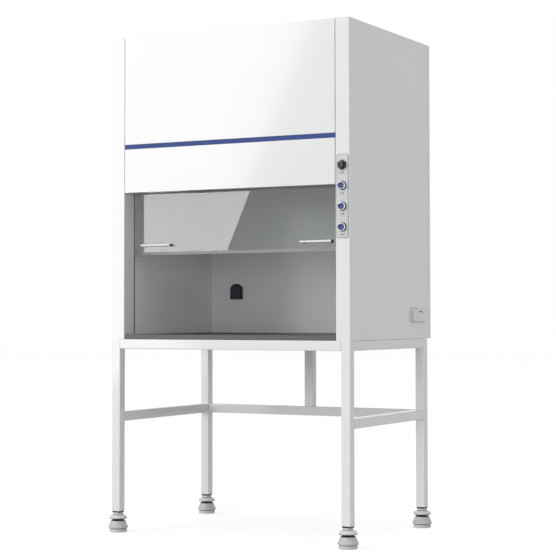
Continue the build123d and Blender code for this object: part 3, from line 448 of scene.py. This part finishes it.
def oblong(width, height, radius, centre=(0, 0)):
    """A rectangle's outline with rounded corners."""
    # An eased corner is tighter than an arc that starts at the same place, so it starts further out
    corner_reach = 1.2
    x, y = centre
    corners = [
        (x - width / 2, y - height / 2), (x + width / 2, y - height / 2),
        (x + width / 2, y + height / 2), (x - width / 2, y + height / 2),
    ]
    return [tuple(point) for point in eased(corners, radius * corner_reach, closed=True, steps=5)]


def hexagon(across):
    """A hexagon's outline, given by the distance between its flats."""
    radius = across / 2 / math.cos(math.pi / 6)
    turns = [math.radians(30) + 2 * math.pi * corner / 6 for corner in range(6)]
    return [(radius * math.cos(turn), radius * math.sin(turn)) for turn in turns]


def arch(half_width, height):
    """The points of half an ellipse from right to left, sizes in millimetres, in metres."""
    turns = [step * math.pi / 12 for step in range(13)]
    return [(half_width * MM * math.cos(turn), height * MM * math.sin(turn)) for turn in turns]


def turned_line(profile, radius=0.6):
    """A profile in millimetres, its corners eased, in metres."""
    return [(point.x * MM, point.y * MM) for point in eased(profile, radius)]


# Levelling feet, in millimetres above the floor and from each foot's axis
PAD_RADIUS = 36
PAD_TOP = 16
BELL_RADIUS = 41.5
BELL_EDGE = 22
BELL_TOP = 46
BELL_DRAW_IN = 10.5
BELL_HOLLOW = 4.0
NUT_LOW = 40
NUT_TOP = 49
NUT_ACROSS = 27
STUD_RADIUS = 8
STUD_TOP = 147
THREAD_ROOT = 7.1
THREAD_LOW = 49.5
THREAD_PITCH = 1.85
THREAD_TURNS = 52
COLLAR_RADIUS = 36
COLLAR_NECK = 20
COLLAR_BORE = 8.2
COLLAR_LOW = 55
COLLAR_TOP = 79.7


def foot(name):
    """A foot: rubber pad, plastic bell with a hollow top, zinc stud with a hexagon and a thread."""
    box = Box(name)
    upright = Matrix.Translation((box.mid.x, box.mid.y, box.low.z))

    bell = bmesh.new()
    side = [
        (
            BELL_RADIUS - BELL_DRAW_IN * share + BELL_HOLLOW * share * (share - 1),
            BELL_EDGE + (BELL_TOP - BELL_EDGE) * share,
        )
        for share in (0, 0.2, 0.4, 0.6, 0.8, 1)
    ]
    rim = [(0, PAD_TOP), (BELL_RADIUS - 1, PAD_TOP), (BELL_RADIUS, PAD_TOP + 2)]
    well = [(28, BELL_TOP), (24, BELL_TOP - 1.5), (22, NUT_LOW), (0, NUT_LOW)]
    add_turned(bell, turned_line([*rim, *side, *well], 0.8), upright)
    stand(bell, name + "_bell", FOOT_GREY, name, replaces=(name,))

    pad = bmesh.new()
    add_turned(pad, turned_line([
        (0, 0), (PAD_RADIUS - 1, 0), (PAD_RADIUS, 1.5), (PAD_RADIUS, 12.5),
        (PAD_RADIUS - 1, 14), (33.5, PAD_TOP), (0, PAD_TOP),
    ], 0.5), upright)
    stand(pad, name + "_pad", PAD, name)

    stud = bmesh.new()
    thread = []
    for turn in range(THREAD_TURNS):
        height = THREAD_LOW + turn * THREAD_PITCH
        thread += [(STUD_RADIUS, height), (THREAD_ROOT, height + 0.92)]
    stud_line = [(0, NUT_LOW), (STUD_RADIUS, NUT_LOW), *thread, (0, STUD_TOP)]
    add_turned(stud, [(x * MM, z * MM) for x, z in stud_line], upright, 32)
    add_slab(stud, hexagon(NUT_ACROSS * MM), NUT_LOW * MM, NUT_TOP * MM, upright, 0.8 * MM)
    stand(stud, name + "_stud", STEEL, name)

    # Black rings painted as shade: one on the bell's top in the dark gap under the collar, one where
    # the bell's rim overhangs the pad
    painted_shade_rings = bmesh.new()
    bell_shade_ring = [(8.3, 45.5), (27.5, 45.5), (27.5, 48.5), (22, 50.5), (8.3, 50.5), (8.3, 45.5)]
    pad_shade_ring = [(0, 13.6), (36.4, 13.6), (36.4, 16.2), (0, 16.2)]
    add_turned(painted_shade_rings, turned_line(bell_shade_ring, 0.5), upright)
    add_turned(painted_shade_rings, turned_line(pad_shade_ring, 0.3), upright)
    stand(painted_shade_rings, name + "_seals", BLACK, name)


for corner in CORNERS:
    foot("foot_" + corner)

# Flared collars under the legs, with black rings round the neck and the rim painted as contact shade
shoulder = [
    (36.5, 62), (35.6, 64.2), (33.4, 66.4), (29.5, 68.4), (24.5, 70.2), (20.6, 72), (20, 73.5),
]
collar_profile = [
    (COLLAR_BORE, COLLAR_LOW), (COLLAR_RADIUS, COLLAR_LOW), *shoulder,
    (COLLAR_NECK, COLLAR_TOP), (COLLAR_BORE, COLLAR_TOP), (COLLAR_BORE, COLLAR_LOW),
]
neck_shade_line = [(18, 72.6), (21.4, 72.6), (21.4, 74.2), (18, 74.2), (18, 72.6)]
rim_shade_line = [(30, 54.6), (36.2, 54.6), (36.7, 55.6), (36.7, 56.6), (30, 56.6), (30, 54.6)]
collars = bmesh.new()
collar_shade_lines = bmesh.new()
for corner in CORNERS:
    box = Box("foot_" + corner)
    upright = Matrix.Translation((box.mid.x, box.mid.y, 0))
    add_turned(collars, turned_line(collar_profile, 0.5), upright)
    add_turned(collar_shade_lines, turned_line(neck_shade_line, 0.2), upright)
    add_turned(collar_shade_lines, turned_line(rim_shade_line, 0.2), upright)
stand(
    collars, "foot_collar_rings", COLLAR_GREY, "cabinet",
    replaces=("foot_collars",),
)
stand(collar_shade_lines, "foot_collar_painted_shade", BLACK, "cabinet")

# Sash handles on dark standoffs, with washers behind the glass
bar_radius = 4.5 * MM
bar_chamfer = 1.5 * MM
for side in ("left", "right"):
    box = Box(side + "_handle")
    half = box.size.x / 2
    bar = bmesh.new()
    round_end = [(0, -half), (bar_radius - bar_chamfer, -half), (bar_radius, -half + bar_chamfer)]
    profile = [*round_end, *[(radius, -height) for radius, height in reversed(round_end)]]
    bar_line = [tuple(point) for point in eased(profile, 1.2 * MM)]
    add_turned(bar, bar_line, placed(box.mid, (1, 0, 0)), 40)
    stand(
        bar, side + "_handle_bar", BRIGHT_BAR, "sash",
        replaces=(side + "_handle",),
    )

post_radius = 4.4
post_flange = 5.4
post_inset = 9 * MM
post_gap = 0.3 * MM
washer_depth = 2
standoffs = Box("handle_standoffs")
glass = Box("sash_glass")
posts = bmesh.new()
for side in ("left", "right"):
    box = Box(side + "_handle")
    reach = glass.low.y - post_gap - box.mid.y
    depth = reach / MM
    post = turned_line([
        (0, 0), (post_radius, 0), (post_radius, depth - 5), (post_flange, depth - 3.5),
        (post_flange, depth), (0, depth),
    ])
    washer = turned_line([(0, 0), (8, 0), (8, 1.4), (6.5, washer_depth), (0, washer_depth)])
    for end in (-1, 1):
        x = box.mid.x + end * (box.size.x / 2 - post_inset)
        behind_glass = standoffs.high.y - washer_depth * MM
        add_turned(posts, post, placed((x, box.mid.y, box.mid.z), (0, 1, 0)), 32)
        add_turned(posts, washer, placed((x, behind_glass, box.mid.z), (0, 1, 0)), 32)
stand(posts, "handle_posts", BLACK, "sash", replaces=("handle_standoffs",))

# Control plate with a dark outline and plain marks
plate = Box("control_plate")
plate_axes = facing_front(plate.mid.x, plate.high.y, plate.mid.z)
plate_margin = 3 * MM
edge_step = 0.7 * MM
plate_film = bmesh.new()
film_outline = oblong(plate.size.x - plate_margin, plate.size.z - plate_margin, 7 * MM)
add_slab(plate_film, film_outline, 0, plate.size.y, plate_axes, 0.5 * MM)
stand(
    plate_film, "control_plate_film", PLATE, "cabinet",
    replaces=("control_plate",),
)
plate_edge = bmesh.new()
edge_outline = oblong(plate.size.x, plate.size.z, 8 * MM)
add_slab(plate_edge, edge_outline, 0, plate.size.y - edge_step, plate_axes, 0.3 * MM)
stand(plate_edge, "control_plate_edge", OUTLINE, "cabinet")

control_names = ("rotary_knob", "upper_button", "middle_button", "lower_button")
control_x = Box("rotary_knob").mid.x
control_heights = [Box(name).mid.z for name in control_names]
knob_height = control_heights[0]
button_heights = control_heights[1:]
mark_shift = 5.2 * MM
mark_drop = 30 * MM
mark_depth = 0.12 * MM
marks = bmesh.new()
for height in control_heights:
    for side in (-1, 1):
        spot = (control_x + side * mark_shift - plate.mid.x, height - mark_drop - plate.mid.z)
        mark = oblong(4.6 * MM, 5 * MM, 1 * MM, spot)
        add_slab(marks, mark, plate.size.y, plate.size.y + mark_depth, plate_axes)
stand(marks, "control_marks", INK, "cabinet")


def control_axes(height, depth):
    """Axes at a control, Z towards the user, from a depth in front of the plate's back."""
    return facing_front(control_x, plate.high.y - depth, height)


# Knob and buttons, in millimetres from the plate's face and from each control's axis
KNOB_BASE_ACROSS = 36
KNOB_BASE_DEPTH = 6
RING_RADIUS = 18
RING_BORE = 12.4
RING_DEPTH = 3
SWITCH_RADIUS = 15.8
SWITCH_DEPTH = 12
CAP_RADIUS = 12

face = plate.size.y + 0.3 * MM
rings = bmesh.new()
knob_base = hexagon(KNOB_BASE_ACROSS * MM)
add_slab(rings, knob_base, 0, KNOB_BASE_DEPTH * MM, control_axes(knob_height, face), 0.8 * MM)
ring_line = turned_line([
    (RING_BORE, 0), (RING_RADIUS, 0), (RING_RADIUS, RING_DEPTH - 1), (RING_RADIUS - 1, RING_DEPTH),
    (RING_BORE, RING_DEPTH), (RING_BORE, 0),
], 0.4)
for height in button_heights:
    add_turned(rings, ring_line, control_axes(height, face))
stand(rings, "control_base_rings", GLOSS_BLACK, "cabinet")

bodies = bmesh.new()
body_line = turned_line([
    (0, 2), (SWITCH_RADIUS, 2), (SWITCH_RADIUS, 4), (15.2, 10.6), (14.4, SWITCH_DEPTH),
    (12.3, SWITCH_DEPTH), (12.3, 2.2), (0, 2.2),
], 0.5)
for height in button_heights:
    add_turned(bodies, body_line, control_axes(height, face))
stand(
    bodies, "switch_chrome_bodies", CHROME, "cabinet",
    replaces=("switch_bodies",),
)

knob = Box("rotary_knob")
knob_length = knob.size.y / MM
knob_axes = control_axes(knob_height, plate.high.y - knob.high.y)
knob_piece = bmesh.new()
add_turned(knob_piece, turned_line([
    (0, 0), (13.4, 0), (13.4, 1.5), (12.6, 2.2), (12.5, knob_length - 1.5),
    (11.4, knob_length - 0.4), (9.5, knob_length - 0.4), (9.0, knob_length - 0.9),
    (0, knob_length - 0.9),
], 0.4), knob_axes)
stand(
    knob_piece, "rotary_knob_cap", GLOSS_BLACK, "knob",
    replaces=("rotary_knob",),
)
pointer = bmesh.new()
pointer_outline = oblong(1.6 * MM, 8 * MM, 0.6 * MM, (0, 6.5 * MM))
add_slab(
    pointer, pointer_outline, (knob_length - 1.2) * MM, (knob_length - 0.3) * MM, knob_axes
)
stand(pointer, "rotary_knob_pointer", PALE, "knob")

for name in ("upper", "middle", "lower"):
    box = Box(name + "_button")
    length = box.size.y / MM
    cap = bmesh.new()
    add_turned(cap, turned_line([
        (0, 0), (CAP_RADIUS, 0), (CAP_RADIUS, length - 1.2), (CAP_RADIUS - 0.7, length),
        (10.3, length), (8.5, length - 0.6), (5, length - 1.05), (0, length - 1.2),
    ], 0.5), placed((box.mid.x, box.high.y, box.mid.z), (0, -1, 0)))
    stand(
        cap, name + "_button_cap", CAP_BLUE, "button_" + name,
        replaces=(name + "_button",),
    )

# Dark arch on the service lid, painted shade under the lid's arched top edge
lid = Box("service_lid")
shade_arch_drop = 24 * MM
lid_axes = Matrix((
    (0, 0, 1, lid.high.x), (1, 0, 0, lid.mid.y), (0, 1, 0, lid.high.z - shade_arch_drop), (0, 0, 0, 1),
))
lid_shade_arch = bmesh.new()
add_slab(lid_shade_arch, arch(24, 9) + arch(20, 5.5)[::-1], -0.2 * MM, 0.8 * MM, lid_axes)
stand(lid_shade_arch, "service_lid_painted_shade", BLACK, "service_lid")

# Stage: a pale floor that stays white to the camera, and keeps the shadows
FLOOR_SIZE = 60.0
FLOOR_DROP = 0.5 * MM
FLOOR_GREY = 0.52
FLOOR_GLOW = 0.695
AMBIENT = 0.56

floor_mesh = bmesh.new()
bmesh.ops.create_grid(floor_mesh, x_segments=1, y_segments=1, size=FLOOR_SIZE / 2)
floor_data = bpy.data.meshes.new("floor")
floor_mesh.to_mesh(floor_data)
floor_mesh.free()
floor = bpy.data.objects.new("floor", floor_data)
floor.location.z = -FLOOR_DROP
bpy.context.scene.collection.objects.link(floor)


def looked_at(tree):
    """1 for what the camera sees, also in gloss or through glass, and 0 for light on surfaces."""
    path = tree.node("LightPath")
    seen = path("Is Camera Ray").largest(path("Is Glossy Ray")).largest(path("Is Transmission Ray"))
    return seen * (path("Diffuse Depth") < 0.5)


floor_tree = Tree(bpy.data.materials.new("studio_floor"))
lit = floor_tree.node("BsdfDiffuse", {}, {"Color": grey(FLOOR_GREY)})("BSDF")
glow_sockets = {"Color": grey(1.0), "Strength": FLOOR_GLOW * looked_at(floor_tree)}
glow = floor_tree.node("Emission", {}, glow_sockets)("Emission")
both = floor_tree.node("AddShader", {}, {0: lit, 1: glow})("Shader")
floor_tree.node("OutputMaterial", {}, {"Surface": both})
floor_data.materials.append(floor_tree.owner)

world = bpy.data.worlds.new("studio")
bpy.context.scene.world = world
sky = Tree(world)
strength = AMBIENT + (1 - AMBIENT) * looked_at(sky)
light = sky.node("Background", {}, {"Color": grey(1.0), "Strength": strength})("Background")
sky.node("OutputWorld", {}, {"Surface": light})

# Camera at the photograph's viewing angle
camera_place = Vector((3.27634, -6.11568, 0.90045))
camera_yaw = 0.49968
camera_pitch = 0.04076
camera_roll = 0.00083
picture_width = 556
picture_height = 560
focal_pixels = 1638.3
middle_u = 259.3
middle_v = 248.11

camera_data = bpy.data.cameras.new("camera")
camera_data.sensor_width = 36.0
camera_data.lens = focal_pixels * camera_data.sensor_width / picture_height
camera_data.shift_x = (picture_width / 2 - middle_u) / picture_height
camera_data.shift_y = (middle_v - picture_height / 2) / picture_height
camera = bpy.data.objects.new("camera", camera_data)
bpy.context.scene.collection.objects.link(camera)
camera.matrix_world = (
    Matrix.Translation(camera_place)
    @ Matrix.Rotation(camera_yaw, 4, "Z")
    @ Matrix.Rotation(math.pi / 2 + camera_pitch, 4, "X")
    @ Matrix.Rotation(-camera_roll, 4, "Z")
)
bpy.context.scene.camera = camera


def softbox(name, axes, width, height, radiance):
    """A rectangular lamp that shines along its matrix's -Z, given by its brightness."""
    lamp = bpy.data.lights.new(name, "AREA")
    lamp.shape = "RECTANGLE"
    lamp.size = width
    lamp.size_y = height
    # An area lamp is as bright as its energy over four times its area
    lamp.energy = 4 * radiance * width * height
    holder = bpy.data.objects.new(name, lamp)
    bpy.context.scene.collection.objects.link(holder)
    holder.matrix_world = axes


def aimed(centre, target):
    """A matrix at centre whose own -Z points at target."""
    towards = Vector(target) - Vector(centre)
    return Matrix.Translation(centre) @ towards.to_track_quat("-Z", "Y").to_matrix().to_4x4()


# The key softbox stands far off to the front left. Its tilted edge crosses the front in
# reflection, so its place comes from two points of the front where that edge is seen.
edge_top = Vector((0.373, FRONT, 2.058))
edge_low = Vector((0.084, FRONT, 1.401))
key_y = -14.0
key_width = 9.0
key_height = 13.0
key_lift = 1.5
mirrored = Vector((camera_place.x, 2 * FRONT - camera_place.y, camera_place.z))


def beyond(point):
    """Where a line from the mirrored camera through a point of the front meets the key's plane."""
    share = (key_y - mirrored.y) / (point.y - mirrored.y)
    return mirrored + (point - mirrored) * share


along = (beyond(edge_top) - beyond(edge_low)).normalized()
across = Vector((-along.z, 0, along.x))
key_middle = beyond(edge_low) + along * key_lift + across * (key_width / 2)
key_axes = Matrix((
    (-across.x, along.x, 0, key_middle.x),
    (0, 0, -1, key_middle.y),
    (-across.z, along.z, 0, key_middle.z),
    (0, 0, 0, 1),
))
softbox("key_softbox", key_axes, key_width, key_height, radiance=3.2)
overhead_axes = aimed((0, -1.5, 7.0), (0, 0, 1.0))
softbox("overhead_softbox", overhead_axes, width=6.0, height=6.0, radiance=0.5)
front_axes = aimed((3.0, -9.0, 1.6), (0, FRONT, 0.9))
softbox("front_softbox", front_axes, width=4.0, height=3.0, radiance=2.6)

bpy.context.scene.view_settings.view_transform = "Standard"
